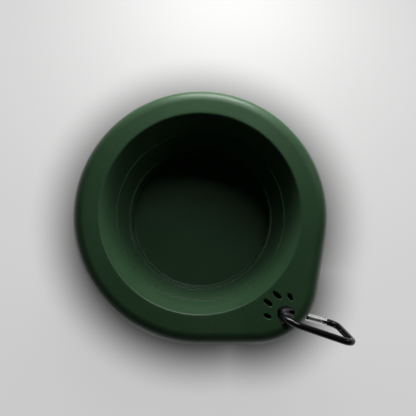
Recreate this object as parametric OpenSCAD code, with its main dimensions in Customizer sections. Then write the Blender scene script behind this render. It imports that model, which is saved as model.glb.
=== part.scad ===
/* [Bowl] */
// Height of the open bowl, from the table to the rim's top
bowl_h = 54; // [46:1:66]
// Width of the opening at the rim's top
opening_d = 100.8; // [92:0.4:110]
// Width of the bowl inside at the floor
floor_d = 75; // [66:0.5:78]
// Thickness of the floor
floor_t = 3; // [2:0.25:4]
// Thickness of the upper wall
wall_t = 2.2; // [1.6:0.1:2.8]
// Width that the upper wall takes on its way down to the upper fold, on each side
upper_taper = 6.4; // [5:0.1:7]
// Width of the step at the upper fold, on each side
upper_step = 0.8; // [0.6:0.05:1.2]
// Width of the step at the lower fold, on each side
lower_step = 1.15; // [0.9:0.05:1.5]
// Thickness of the silicone at a fold line
fold_t = 0.8; // [0.6:0.05:1.2]
// Thickness of the middle wall at its belly
belly_t = 1.8; // [1.3:0.1:2.2]
// Rounding of the base's lower edge
base_round = 1.6; // [0.8:0.1:2.4]
// Rounding of the opening's edge
mouth_round = 0.8; // [0.4:0.1:1.2]

/* [Rim] */
// Width of the rim, from the opening's edge to its widest point
rim_w = 14.7; // [14:0.1:20]
// Height of the rim, from its top to the skirt's lower edge
rim_h = 12; // [11:0.25:13]
// Thickness of the rim's top and skirt
rim_t = 2; // [1.6:0.1:2.4]
// Outer radius of the rim's round shoulder
shoulder_r = 5.6; // [4.5:0.1:6.5]
// How far the skirt leans outwards, in degrees
skirt_lean = 13; // [6:1:16]
// How far the rim's outline sits off the opening's centre
rim_shift = 0.9; // [0:0.1:1.5]
// Thickness of the stiff core under the rim's top
core_t = 1.6; // [1:0.1:2.2]

/* [Tab] */
// Radius of the tab's corner
tab_r = 32; // [26:0.5:34]
// Half of the turn that the tab's corner makes, in degrees
tab_turn = 40; // [38:1:44]
// Direction of the tab, in degrees
tab_dir = -49.8; // [-60:0.1:-40]
// Direction of the paw from the tab's, in degrees
paw_skew = -0.3; // [-2:0.1:2]
// Room for the clip's slanting bar in the paw's pad, along the tab
pad_room = 2.7; // [1.8:0.1:3]
// Width of the pad across the tab
pad_w = 9; // [8.6:0.1:11.5]
// How far the pad's two ends bend outwards
pad_bend = 1.2; // [1:0.1:3]
// How far the pad's middle lies inside the place where the bar passes
pad_in = 0.5; // [0:0.1:1]
// Distance of the two inner toes from the pad
inner_toe_in = 9.5; // [8.8:0.1:10]
// Distance of the two outer toes from the pad
outer_toe_in = 4.2; // [3.4:0.1:4.8]
// Length and width of an inner toe
inner_toe = [5.2, 2.3]; // [2:0.1:6]
// Length and width of an outer toe
outer_toe = [4.1, 2.1]; // [1.8:0.1:5]

/* [Clip] */
// Thickness of the frame's round bar
bar_d = 3.5; // [3:0.1:3.7]
// Room between the rim's height and the inside of the frame's round end
band_room = 3; // [2.8:0.05:4]
// Distance of the round end's centre from the tab's outer edge
clip_in = 1.9; // [1.5:0.1:6]
// Direction in which the round end lies from the tab's, in degrees
clip_side = 3; // [0:0.1:5]
// Direction in which the clip points from the tab's, in degrees
clip_slant = 31.2; // [24:0.1:36]
// How far the clip's plane leans off upright, in degrees
clip_lean = 14; // [10:1:20]
// Length that the frame's straight back has over the gate's
back_over = 9.8; // [6:0.1:11]
// Radius of the tight bend at the tip, to the middle of the bar
tip_r = 4.2; // [3:0.1:5]
// Radius of the knee between the tip and the gate, to the middle of the bar
knee_r = 4.6; // [2.2:0.1:5]
// Thickness of the gate
gate_d = 3.9; // [3.8:0.1:5]
// Length of the gate, from its rivet to its free end
gate_l = 12.4; // [11.8:0.1:16]
// How far the gate spreads from the back towards its free end, in degrees
gate_spread = 14; // [0:1:16]
// Thickness of the gate's rivet
rivet_d = 1.4; // [1.2:0.1:1.6]
// Thickness of the latch pin
latch_d = 1; // [0.8:0.1:1.2]
// Thickness of the frame's flat tongues
tongue_t = 1.2; // [1:0.1:1.4]

/* [Hidden] */
$fn = 96;

silicone = "#3A543E";
core_black = "#191C19";
black = "#15161A";
bright = "#D5D7D9";
steel = "#9EA2A6";

// Gap between pieces that turn or slide on each other
play = 0.3;
// Gap round a shaft in its bore
shaft_play = 0.05;
// How far a cutter runs past the piece it cuts
over = 1;

// Heights of the two folds, which split the inside into three equal bands
band_h = (bowl_h - floor_t) / 3;
lower_fold_z = floor_t + band_h;
upper_fold_z = floor_t + 2 * band_h;

// Inner radii from the mouth down to the floor
mouth_r = opening_d / 2;
upper_low_r = mouth_r - upper_taper;
middle_top_r = upper_low_r - upper_step;
floor_r = floor_d / 2;
middle_low_r = floor_r + lower_step;

// Ends of the walls, which meet the fold lines face to face
upper_low_z = upper_fold_z + fold_t / 2;
middle_top_z = upper_fold_z - fold_t / 2;
middle_low_z = lower_fold_z + fold_t / 2;
lower_top_z = lower_fold_z - fold_t / 2;
rim_under_z = bowl_h - rim_t;

// The thin ends of the walls, a hair less than the steps that they pass when the bowl folds
step_gap = 0.05;
middle_top_t = upper_step - step_gap;
middle_low_t = 1.2 * fold_t;
lower_top_t = lower_step - step_gap;
lower_low_t = wall_t + step_gap;
base_r = floor_r + lower_low_t;

// Slope of the upper wall's inner face
function upper_r(z) = upper_low_r + upper_taper * (z - upper_low_z) / (bowl_h - upper_low_z);

// The rim's outline: a large circle and a small one, joined by their two outer tangents
rim_r = mouth_r + rim_w;
rim_at = [0, -rim_shift];
tab_reach = (rim_r - tab_r) / cos(tab_turn);
tangent_run = tab_reach * sin(tab_turn);
low_normal = tab_dir - tab_turn;
high_normal = tab_dir + tab_turn;

// The rim's edge in section, measured from its widest point
skirt_r = shoulder_r - rim_t / 2;
skirt_run = (rim_h - rim_t / 2 - shoulder_r + skirt_r * sin(skirt_lean)) / cos(skirt_lean);
edge_in = skirt_r * cos(skirt_lean) + skirt_run * sin(skirt_lean) + rim_t / 2;
shoulder_at = [-edge_in, bowl_h - shoulder_r];
skirt_top = shoulder_at + skirt_r * [cos(skirt_lean), sin(skirt_lean)];
skirt_low = skirt_top + skirt_run * [sin(skirt_lean), -cos(skirt_lean)];
shoulder_steps = 8;
hem_steps = 6;

// The edge's flat reaches this far in, where the rim's plate seats in it by half, a hair thinner,
// and the straight stretches of the edge seat in the round ones in the same way
edge_flat = 2;
straight_flat = 1.5;
edge_step = 0.02;
edge_lap = 0.3;
plate_step = 2 * edge_step;

// The straight sides of a plan lie this far inside the tangents of its circles
plan_step = 0.4;

// The clip's round end is centred on the band of rim that it holds
clip_dir = tab_dir + clip_slant;
clip_out = tab_reach + tab_r - clip_in;
clip_out_dir = tab_dir + clip_side;
clip_at = [clip_out * cos(clip_out_dir), clip_out * sin(clip_out_dir), bowl_h - rim_h / 2];
bar_r = bar_d / 2;
basket_r = rim_h / 2 + band_room + bar_r;

// Where the middle of the bar passes through the rim's top, which is the pad's distance from the axis
pass_up = (rim_h - rim_t) / 2 / cos(clip_lean);
pass_in = sqrt(basket_r * basket_r - pass_up * pass_up);
pass_lean = pass_up * sin(clip_lean);
pass_at = [clip_at[0] - pass_in * cos(clip_dir) + pass_lean * sin(clip_dir),
    clip_at[1] - pass_in * sin(clip_dir) - pass_lean * cos(clip_dir)];

// The paw's places in the tab
pad_at = norm(pass_at) - pad_in;
pad_l = (bar_d * basket_r + rim_t * pass_up) / pass_in + pad_room;
inner_toe_at = pad_at - inner_toe_in;
outer_toe_at = pad_at - outer_toe_in;
paw_points = 24;
paw_turn = 10;
inner_toe_swing = 3;
outer_toe_swing = 6.9;
inner_toe_turn = 6;
outer_toe_turn = 24;
paw_dir = tab_dir + paw_skew;

// The core stays clear of the shoulder and of the upper wall. It lies under the toes, which it
// closes from below, and it stops on both sides of the pad, where the clip passes
core_gap = 0.6;
core_window_at = pad_at + pad_bend / 2;
core_window_r = pad_w / 2 + core_gap;

// A straight stretch is a hair thinner than a bend, and its ends sit this far inside the bends
bar_step = 0.02;
bar_lap = 0.2;

// The gate turns about its rivet, just past the end of the frame's round end
gate_end = gate_d / 2;
rivet_past = 2.4;
rivet_at = [rivet_past, basket_r];
gate_dir = [cos(gate_spread), sin(gate_spread)];
gate_r = gate_d / 2;
slot_w = tongue_t + 2 * play;
tongue_r = 0.9 * bar_r;
root_r = tongue_r - 0.1 * bar_r;
hinge_slot_l = tongue_r + play;
nose_slot_l = 2.6;
latch_in = 1.3;
latch_at = gate_l - latch_in;
nose_gap = 0.4;
nose_l = 1.2;
basket_end_a = 90 + asin((gate_end + bar_r / 2 - rivet_at[0]) / basket_r);

// The tip and the knee are bends about two centres, joined by their outer tangent
back_l = gate_l + back_over;
tip_at = [back_l, tip_r - basket_r];
knee_at = rivet_at + (gate_l + nose_gap + nose_l) * gate_dir - knee_r * [-gate_dir[1], gate_dir[0]];
knee_from_tip = knee_at - tip_at;
slope_a = atan2(knee_from_tip[1], knee_from_tip[0]) - acos((tip_r - knee_r) / norm(knee_from_tip));
slope_from = tip_at + tip_r * [cos(slope_a), sin(slope_a)];
slope_to = knee_at + knee_r * [cos(slope_a), sin(slope_a)];

// What sits inside the gate
spring_d = 2.2;
spring_wire = 0.35;
spring_l = 5;
plunger_d = spring_d - 2 * spring_wire - 0.1 * spring_d;
plunger_head_l = 0.8;
plunger_l = 2.6;
bore_d = spring_d + 2 * shaft_play;
head_rivet = 0.25;

// Plan of the rim, drawn in by an inset
module rim_plan(inset) {
    big = rim_r - inset;
    small = tab_r - inset;
    tab_at = tab_reach * [cos(tab_dir), sin(tab_dir)];
    low = [cos(low_normal), sin(low_normal)];
    high = [cos(high_normal), sin(high_normal)];
    translate(rim_at) {
        circle(big);
        translate(tab_at) circle(small);
        polygon([(big - plan_step) * low, tab_at + (small - plan_step) * low,
            tab_at + (small - plan_step) * high, (big - plan_step) * high]);
    }
}

// The rim's edge, once round the outline: two round stretches, and two straight ones seated in them
module rim_edge() {
    translate(rim_at) {
        rotate([0, 0, high_normal]) rotate_extrude(angle = 360 - 2 * tab_turn)
            translate([rim_r, 0]) polygon(edge_points(0, edge_flat));
        rotate([0, 0, tab_dir]) translate([tab_reach, 0, 0]) rotate([0, 0, -tab_turn])
            rotate_extrude(angle = 2 * tab_turn)
            translate([tab_r, 0]) polygon(edge_points(0, edge_flat));
        rotate([0, 0, high_normal]) translate([0, edge_lap, 0]) straight_edge();
        rotate([0, 0, low_normal]) translate([0, tangent_run + edge_lap, 0]) straight_edge();
    }
}

// A straight stretch of the rim's edge, a hair thinner than the round ones
module straight_edge() {
    rotate([90, 0, 0]) linear_extrude(tangent_run + 2 * edge_lap)
        translate([rim_r, 0]) polygon(edge_points(edge_step, straight_flat));
}

// Points of an arc
function arc(at, radius, from, to, steps) =
    [for (i = [0 : steps]) let (a = from + (to - from) * i / steps) at + radius * [cos(a), sin(a)]];

// Section of the rim's flat, shoulder and skirt, thinned by a step on both faces
function edge_points(step, flat) = concat(
    [[-edge_in - flat, bowl_h - step]],
    arc(shoulder_at, shoulder_r - step, 90, skirt_lean, shoulder_steps),
    arc(skirt_low, rim_t / 2 - step, skirt_lean, skirt_lean - 180, hem_steps),
    arc(shoulder_at, shoulder_r - rim_t + step, skirt_lean, 90, shoulder_steps),
    [[-edge_in - flat, rim_under_z + step]]);

// One toe of the paw, an ellipse grown by a margin
module toe(size, margin) {
    half = size / 2 + [margin, margin];
    polygon([for (i = [0 : paw_points - 1])
        let (a = 360 * i / paw_points) [half[0] * cos(a), half[1] * sin(a)]]);
}

// The pad, an ellipse whose two ends bend outwards, grown by a margin
module pad(margin) {
    half = [pad_l / 2 + margin, pad_w / 2 + margin];
    polygon([for (i = [0 : paw_points - 1])
        let (a = 360 * i / paw_points)
        [half[0] * cos(a) + pad_bend * sin(a) * sin(a), half[1] * sin(a)]]);
}

// The paw cut-out: four toes and a pad, the tab's own hole
module paw(margin) {
    rotate([0, 0, paw_dir]) {
        translate([pad_at, 0]) pad(margin);
        for (side = [-1, 1]) {
            rotate([0, 0, side * inner_toe_swing]) translate([inner_toe_at, 0])
                rotate([0, 0, paw_turn - side * inner_toe_turn]) toe(inner_toe, margin);
            rotate([0, 0, side * outer_toe_swing]) translate([outer_toe_at, 0])
                rotate([0, 0, paw_turn - side * outer_toe_turn]) toe(outer_toe, margin);
        }
    }
}

module floor_disc() {
    color(silicone) {
        translate([0, 0, base_round]) cylinder(r = base_r, h = floor_t - base_round);
        cylinder(r = base_r - base_round, h = base_round);
        translate([0, 0, base_round]) rotate_extrude() intersection() {
            translate([base_r - base_round, 0]) circle(base_round);
            translate([base_r - base_round, -base_round]) square(base_round);
        }
    }
}

module lower_wall() {
    color(silicone) rotate_extrude() polygon([[floor_r, floor_t], [base_r, floor_t],
        [floor_r + lower_top_t, lower_top_z], [floor_r, lower_top_z]]);
}

module lower_fold() {
    color(silicone) translate([0, 0, lower_top_z]) difference() {
        cylinder(r = middle_low_r + middle_low_t, h = fold_t);
        translate([0, 0, -over]) cylinder(r = floor_r, h = fold_t + 2 * over);
    }
}

module middle_wall() {
    belly_r = (middle_low_r + middle_top_r) / 2 + belly_t;
    belly_z = (middle_low_z + middle_top_z) / 2;
    color(silicone) rotate_extrude() polygon([[middle_low_r, middle_low_z],
        [middle_low_r + middle_low_t, middle_low_z], [belly_r, belly_z],
        [middle_top_r + middle_top_t, middle_top_z], [middle_top_r, middle_top_z]]);
}

module upper_fold() {
    color(silicone) translate([0, 0, middle_top_z]) difference() {
        cylinder(r = upper_low_r + wall_t, h = fold_t);
        translate([0, 0, -over]) cylinder(r = middle_top_r, h = fold_t + 2 * over);
    }
}

module upper_wall() {
    top_r = upper_r(rim_under_z);
    color(silicone) rotate_extrude() polygon([[upper_low_r, upper_low_z],
        [upper_low_r + wall_t, upper_low_z], [top_r + wall_t, rim_under_z], [top_r, rim_under_z]]);
}

module rim_cover() {
    color(silicone) difference() {
        union() {
            rim_edge();
            translate([0, 0, rim_under_z + plate_step]) linear_extrude(rim_t - 2 * plate_step)
                rim_plan(edge_in + edge_flat / 2);
        }
        translate([0, 0, upper_low_z]) cylinder(r1 = upper_low_r, r2 = upper_r(bowl_h + over),
            h = bowl_h + over - upper_low_z);
        mouth_edge_cut();
        translate([0, 0, rim_under_z - over]) linear_extrude(rim_t + 2 * over) paw(0);
    }
}

// What is cut away to round the opening's edge
module mouth_edge_cut() {
    rotate_extrude() difference() {
        translate([mouth_r - mouth_round, bowl_h - mouth_round]) square([2 * mouth_round, 2 * mouth_round]);
        translate([mouth_r + mouth_round, bowl_h - mouth_round]) circle(mouth_round);
    }
}

module rim_core() {
    color(core_black) translate([0, 0, rim_under_z - core_t]) linear_extrude(core_t) difference() {
        rim_plan(edge_in + core_gap);
        circle(upper_r(rim_under_z) + wall_t + core_gap);
        rotate([0, 0, paw_dir]) translate([core_window_at, 0]) circle(core_window_r);
    }
}

// Puts a piece that is drawn flat, with the clip's length along X, in its place
module in_clip() {
    translate(clip_at) rotate([0, 0, clip_dir]) rotate([clip_lean - 90, 0, 0]) children();
}

// Puts a piece that is drawn along X from the rivet in the gate's place
module in_gate() {
    in_clip() translate(rivet_at) rotate([0, 0, gate_spread]) children();
}

// A straight stretch of the bar between two points of the clip's plane, seated in the bends at both ends
module bar(from, to) {
    run = to - from;
    translate(from) rotate([0, 0, atan2(run[1], run[0])]) translate([-bar_lap, 0, 0])
        rotate([0, 90, 0]) cylinder(r = bar_r - bar_step, h = norm(run) + 2 * bar_lap);
}

// A bend of the bar about a centre, from one angle to another
module bend(at, radius, from, to) {
    translate(at) rotate([0, 0, from]) rotate_extrude(angle = to - from)
        translate([radius, 0]) circle(bar_r);
}

module clip_frame() {
    nose_from = gate_l + nose_gap;
    tip_reach = gate_l - nose_slot_l + 2 * play;
    color(black) {
        in_clip() {
            bend([0, 0], basket_r, basket_end_a, 270);
            bar([0, -basket_r], [back_l, -basket_r]);
            bend(tip_at, tip_r, -90, slope_a);
            bar(slope_from, slope_to);
            bend(knee_at, knee_r, slope_a, 90 + gate_spread);
            difference() {
                union() {
                    translate(basket_r * [cos(basket_end_a), sin(basket_end_a)]) tongue_root();
                    translate([rivet_at[0], rivet_at[1], -tongue_t / 2]) cylinder(r = tongue_r, h = tongue_t);
                }
                translate([rivet_at[0], rivet_at[1], -gate_r])
                    cylinder(d = rivet_d + 2 * shaft_play, h = gate_d);
            }
        }
        in_gate() {
            translate([nose_from, 0, 0]) rotate([0, 90, 0])
                cylinder(r = bar_r - bar_step, h = nose_l + bar_lap);
            difference() {
                translate([tip_reach, -tongue_r, -tongue_t / 2])
                    cube([nose_from - tip_reach + over / 2, 2 * tongue_r, tongue_t]);
                translate([latch_at, 0, -gate_r]) cylinder(d = latch_d + 2 * play, h = gate_d);
                translate([latch_at - latch_d / 2 - play, -gate_r, -gate_r])
                    cube([latch_d + 2 * play, gate_r, gate_d]);
            }
        }
    }
}

// The flat stretch from the bar's end to the rivet's eye
module tongue_root() {
    from = basket_r * [cos(basket_end_a), sin(basket_end_a)];
    run = rivet_at - from;
    rotate([0, 0, atan2(run[1], run[0])]) translate([-bar_r / 2, -root_r, -tongue_t / 2])
        cube([norm(run) + bar_r / 2, 2 * root_r, tongue_t]);
}

module clip_gate() {
    color(bright) in_gate() difference() {
        translate([-gate_end, 0, 0]) rotate([0, 90, 0]) cylinder(r = gate_r, h = gate_l + gate_end);
        translate([-gate_end - over, -gate_d, -slot_w / 2])
            cube([gate_end + over + hinge_slot_l, 2 * gate_d, slot_w]);
        translate([gate_l - nose_slot_l, -gate_d, -slot_w / 2])
            cube([nose_slot_l + over, 2 * gate_d, slot_w]);
        translate([0, 0, -gate_d]) cylinder(d = rivet_d + shaft_play, h = 2 * gate_d);
        translate([latch_at, 0, -gate_d]) cylinder(d = latch_d + shaft_play, h = 2 * gate_d);
        translate([hinge_slot_l - over, 0, 0]) rotate([0, 90, 0])
            cylinder(d = bore_d, h = over + plunger_head_l + spring_l + play);
    }
}

module gate_rivet() {
    color(steel) in_gate() {
        translate([0, 0, -gate_r - head_rivet]) cylinder(d = rivet_d, h = gate_d + 2 * head_rivet);
        for (side = [-1, 1]) translate([0, 0, side * (gate_r + head_rivet / 2)])
            cylinder(d = rivet_d + 2 * head_rivet, h = head_rivet, center = true);
    }
}

module latch_pin() {
    pin_l = 2 * sqrt(gate_r * gate_r - latch_d * latch_d / 4);
    color(steel) in_gate() translate([latch_at, 0, -pin_l / 2]) cylinder(d = latch_d, h = pin_l);
}

module gate_plunger() {
    color(steel) in_gate() translate([hinge_slot_l - play + shaft_play, 0, 0]) rotate([0, 90, 0]) {
        cylinder(d = spring_d, h = plunger_head_l);
        cylinder(d = plunger_d, h = plunger_l);
    }
}

module gate_spring() {
    start = hinge_slot_l - play + shaft_play + plunger_head_l;
    color(steel) in_gate() translate([start, 0, 0]) rotate([0, 90, 0]) difference() {
        cylinder(d = spring_d, h = spring_l);
        translate([0, 0, -over]) cylinder(d = spring_d - 2 * spring_wire, h = spring_l + 2 * over);
    }
}

floor_disc();
lower_wall();
lower_fold();
middle_wall();
upper_fold();
upper_wall();
rim_cover();
rim_core();
clip_frame();
clip_gate();
gate_rivet();
latch_pin();
gate_spring();
gate_plunger();
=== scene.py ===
"""Visual model of a collapsible silicone bowl with a snap clip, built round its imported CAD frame."""

import logging
import math
from dataclasses import dataclass, field
from enum import Enum

import bmesh
import bpy
from mathutils import Matrix, Vector


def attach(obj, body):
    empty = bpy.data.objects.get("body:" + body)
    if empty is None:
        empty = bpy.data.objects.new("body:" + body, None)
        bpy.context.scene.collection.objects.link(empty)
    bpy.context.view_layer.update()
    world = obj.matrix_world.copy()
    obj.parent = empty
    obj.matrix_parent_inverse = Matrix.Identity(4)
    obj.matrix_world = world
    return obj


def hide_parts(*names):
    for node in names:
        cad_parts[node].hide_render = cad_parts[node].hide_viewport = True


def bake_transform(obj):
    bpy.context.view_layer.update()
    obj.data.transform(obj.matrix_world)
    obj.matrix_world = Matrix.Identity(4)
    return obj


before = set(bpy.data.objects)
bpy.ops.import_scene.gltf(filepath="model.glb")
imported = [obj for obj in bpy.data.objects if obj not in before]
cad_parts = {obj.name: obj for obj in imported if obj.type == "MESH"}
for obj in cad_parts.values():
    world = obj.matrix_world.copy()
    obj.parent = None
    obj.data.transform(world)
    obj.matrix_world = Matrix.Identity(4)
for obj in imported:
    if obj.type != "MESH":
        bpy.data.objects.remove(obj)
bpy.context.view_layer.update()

LOG = logging.getLogger("bowl")

# One millimetre, and the distance at which two points become one, both in metres.
MM = 0.001
MERGE = 1e-6

# A corner counts as straight when half its angle is over this.
STRAIGHT = math.radians(89.5)

# How far the clip's plane is turned about Z, in degrees.
CLIP_HEADING = 18.6

Point2 = tuple[float, float]
Corner = tuple[float, float, float]
Colour = tuple[float, float, float, float]
Socket = bpy.types.NodeSocket


# Plane geometry


def arc(centre: Point2, radius: float, start: float, end: float, steps: int) -> list[Point2]:
    """Points of an arc, both ends included.

    Args:
        centre: The arc's centre, in mm.
        radius: The arc's radius, in mm.
        start: The first point's angle, in degrees.
        end: The last point's angle, in degrees.
        steps: How many equal steps the arc is cut in.

    Returns:
        The arc's points in order.
    """
    turns = [math.radians(start + (end - start) * i / steps) for i in range(steps + 1)]
    return [(centre[0] + radius * math.cos(a), centre[1] + radius * math.sin(a)) for a in turns]


def line(start: Point2, end: Point2, steps: int) -> list[Point2]:
    """Points inside a straight run, both ends left out.

    Args:
        start: Where the run begins.
        end: Where the run ends.
        steps: How many equal steps the run is cut in.

    Returns:
        The points between the two ends.
    """
    return [
        (start[0] + (end[0] - start[0]) * i / steps, start[1] + (end[1] - start[1]) * i / steps)
        for i in range(1, steps)
    ]


def rounded(corners: list[Corner], steps: int = 6, run: float = 2.0) -> list[Point2]:
    """A section line whose corners are rounded and whose long runs are cut up.

    Args:
        corners: Each corner's two coordinates and its fillet radius, in mm.
        steps: How many steps a fillet is cut in.
        run: The longest straight step, in mm.

    Returns:
        The line's points in order.
    """
    bends: list[list[Point2]] = [[corners[0][:2]]]
    for before, here, after in zip(corners, corners[1:], corners[2:]):
        at = Vector(here[:2])
        back = (Vector(before[:2]) - at).normalized()
        on = (Vector(after[:2]) - at).normalized()
        half = back.angle(on) / 2
        if here[2] <= 0 or half > STRAIGHT:
            bends.append([here[:2]])
            continue
        reach = here[2] / math.tan(half)
        centre = at + (back + on).normalized() * (here[2] / math.sin(half))
        first, last = at + back * reach - centre, at + on * reach - centre
        sweep = first.angle(last)
        turn = 1 if first.cross(last) > 0 else -1
        bends.append([
            tuple(centre + Matrix.Rotation(turn * sweep * i / steps, 2) @ first)
            for i in range(steps + 1)
        ])
    bends.append([corners[-1][:2]])
    points = list(bends[0])
    for bend in bends[1:]:
        length = math.dist(points[-1], bend[0])
        points += line(points[-1], bend[0], max(1, math.ceil(length / run)))
        points += bend
    return points


def smooth(value: float, low: float, high: float) -> float:
    """A soft step from 0 at low to 1 at high."""
    t = min(1.0, max(0.0, (value - low) / (high - low)))
    return t * t * (3 - 2 * t)


def unit(angle: float) -> Vector:
    """The direction at an angle in degrees, in the plane."""
    turn = math.radians(angle)
    return Vector((math.cos(turn), math.sin(turn)))


# Mesh tools


def new_object(name: str, mesh: bpy.types.Mesh) -> bpy.types.Object:
    """Links a mesh into the scene under a name.

    Args:
        name: The object's name.
        mesh: The mesh that it shows.

    Returns:
        The linked object, at the origin.
    """
    piece = bpy.data.objects.new(name, mesh)
    bpy.context.scene.collection.objects.link(piece)
    return piece


def polyline(
    name: str, points: list[Vector], closed: bool, values: dict[str, list[float]] | None = None
) -> bpy.types.Object:
    """A mesh of edges that a tree sweeps along or turns into a section.

    Args:
        name: The object's name.
        points: Its points, in metres.
        closed: Whether the last point joins the first.
        values: Named numbers, one for each point.

    Returns:
        The object of edges.
    """
    count = len(points)
    edges = [(i, (i + 1) % count) for i in range(count if closed else count - 1)]
    mesh = bpy.data.meshes.new(name)
    mesh.from_pydata(points, edges, [])
    for key, numbers in (values or {}).items():
        mesh.attributes.new(key, "FLOAT", "POINT").data.foreach_set("value", numbers)
    return new_object(name, mesh)


def evaluated(piece: bpy.types.Object) -> bpy.types.Mesh:
    """The plain mesh that an object's modifiers give."""
    graph = bpy.context.evaluated_depsgraph_get()
    return bpy.data.meshes.new_from_object(piece.evaluated_get(graph), depsgraph=graph)


def drop(*pieces: bpy.types.Object) -> None:
    """Removes helper objects from the file."""
    for piece in pieces:
        bpy.data.objects.remove(piece)


def made_mesh(name: str, shape: bmesh.types.BMesh) -> bpy.types.Mesh:
    """Turns a finished shape into a mesh and frees the shape.

    Args:
        name: The mesh's name.
        shape: The shape, which isn't used again.

    Returns:
        The mesh.
    """
    mesh = bpy.data.meshes.new(name)
    shape.to_mesh(mesh)
    shape.free()
    return mesh


def turned(name: str, section: list[Point2], segments: int = 48) -> bpy.types.Mesh:
    """A closed solid of revolution about X.

    Args:
        name: The mesh's name.
        section: Points (x, radius) in mm, with radius 0 at both ends.
        segments: How many steps go round.

    Returns:
        The mesh, in metres, with its faces pointing out.
    """
    shape = bmesh.new()
    verts = [shape.verts.new((x * MM, r * MM, 0)) for x, r in section]
    edges = [shape.edges.new(pair) for pair in zip(verts, verts[1:])]
    bmesh.ops.spin(
        shape, geom=verts + edges, cent=(0, 0, 0), axis=(1, 0, 0),
        angle=math.tau, steps=segments, use_duplicate=False,
    )
    bmesh.ops.remove_doubles(shape, verts=shape.verts, dist=MERGE)
    bmesh.ops.recalc_face_normals(shape, faces=shape.faces)
    return made_mesh(name, shape)


def lying(start: float, turn: float) -> Matrix:
    """The move that lays a shape along Z down onto X, or back, by a turn about Y in degrees."""
    return Matrix.Translation((start * MM, 0, 0)) @ Matrix.Rotation(math.radians(turn), 4, "Y")


def block(low: Vector, high: Vector) -> bpy.types.Object:
    """A helper box for a boolean cut.

    Args:
        low: Its lowest corner, in mm.
        high: Its highest corner, in mm.

    Returns:
        The box.
    """
    shape = bmesh.new()
    bmesh.ops.create_cube(shape, size=1)
    middle, size = (low + high) / 2, high - low
    shape.transform(Matrix.Translation(middle * MM) @ Matrix.Diagonal((*(size * MM), 1)))
    return new_object("cutter", made_mesh("cutter", shape))


def rod(start: Vector, end: Vector, radius: float, segments: int = 40) -> bpy.types.Object:
    """A helper rod for a boolean cut.

    Args:
        start: The middle of one end, in mm.
        end: The middle of the other end, in mm.
        radius: Its radius, in mm.
        segments: How many sides it has.

    Returns:
        The rod.
    """
    shape = bmesh.new()
    run = end - start
    turn = run.to_track_quat("Z", "Y").to_matrix().to_4x4()
    bmesh.ops.create_cone(
        shape, cap_ends=True, segments=segments, radius1=radius * MM, radius2=radius * MM,
        depth=run.length * MM, matrix=Matrix.Translation((start + end) / 2 * MM) @ turn,
    )
    return new_object("cutter", made_mesh("cutter", shape))


def applied(piece: bpy.types.Object, step: bpy.types.Modifier) -> None:
    """Exchanges a piece's mesh for the one that a modifier gives.

    Args:
        piece: The piece.
        step: Its modifier, which is removed.
    """
    mesh = evaluated(piece)
    piece.modifiers.remove(step)
    piece.data = mesh


def cut(piece: bpy.types.Object, cutters: list[bpy.types.Object]) -> None:
    """Cuts helper solids out of a piece, and removes them.

    Args:
        piece: The piece that is cut; its mesh is exchanged.
        cutters: The solids that are taken away.
    """
    for tool in cutters:
        step = piece.modifiers.new("cut", "BOOLEAN")
        step.operation, step.solver, step.object = "DIFFERENCE", "EXACT", tool
        applied(piece, step)
        drop(tool)


def softened(piece: bpy.types.Object, width: float, angle: float = 35) -> None:
    """Breaks the sharp edges of a piece with a small bevel.

    Args:
        piece: The piece; its mesh is exchanged.
        width: The bevel's width, in mm.
        angle: Edges that turn more than this are broken, in degrees.
    """
    step = piece.modifiers.new("edge break", "BEVEL")
    step.width, step.segments, step.limit_method = width * MM, 2, "ANGLE"
    step.angle_limit, step.harden_normals = math.radians(angle), False
    applied(piece, step)


def merged(piece: bpy.types.Object) -> int:
    """Merges doubles, recalculates the normals and reports the open edges.

    Args:
        piece: The piece; its mesh is changed.

    Returns:
        How many edges don't have just two faces.
    """
    shape = bmesh.new()
    shape.from_mesh(piece.data)
    bmesh.ops.remove_doubles(shape, verts=shape.verts, dist=MERGE)
    bmesh.ops.dissolve_degenerate(shape, dist=MERGE, edges=shape.edges)
    bmesh.ops.recalc_face_normals(shape, faces=shape.faces)
    open_edges = sum(len(e.link_faces) != 2 for e in shape.edges)
    shape.to_mesh(piece.data)
    shape.free()
    return open_edges


def shade(piece: bpy.types.Object, angle: float = 180) -> None:
    """Shades a piece smooth, but for its sharp edges.

    Args:
        piece: The piece.
        angle: Edges that turn more than this stay sharp, in degrees.
    """
    mesh = piece.data
    mesh.polygons.foreach_set("use_smooth", [True] * len(mesh.polygons))
    if angle < 180:
        mesh.set_sharp_from_angle(angle=math.radians(angle))


# Node trees


class NodeBuilder:
    """A node tree that is filled node by node."""

    def __init__(self, tree: bpy.types.NodeTree) -> None:
        """Starts from an empty node tree."""
        self.tree = tree
        self.tree.nodes.clear()

    def node(self, kind: str, links: dict | None = None, **settings: object) -> bpy.types.Node:
        """Adds a node, sets it up and links its inputs.

        Args:
            kind: The node's type name.
            links: For each input name or number, a socket to link from or a plain value.
            settings: Properties of the node.

        Returns:
            The node.
        """
        made = self.tree.nodes.new(kind)
        for key, value in settings.items():
            setattr(made, key, value)
        for key, value in (links or {}).items():
            if isinstance(value, Socket):
                self.tree.links.new(value, made.inputs[key])
            else:
                made.inputs[key].default_value = value
        return made

    def maths(self, operation: str, first: object, second: object) -> Socket:
        """The result of a sum on two numbers, each a plain one or a socket's."""
        return self.node("ShaderNodeMath", {0: first, 1: second}, operation=operation).outputs[0]


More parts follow.
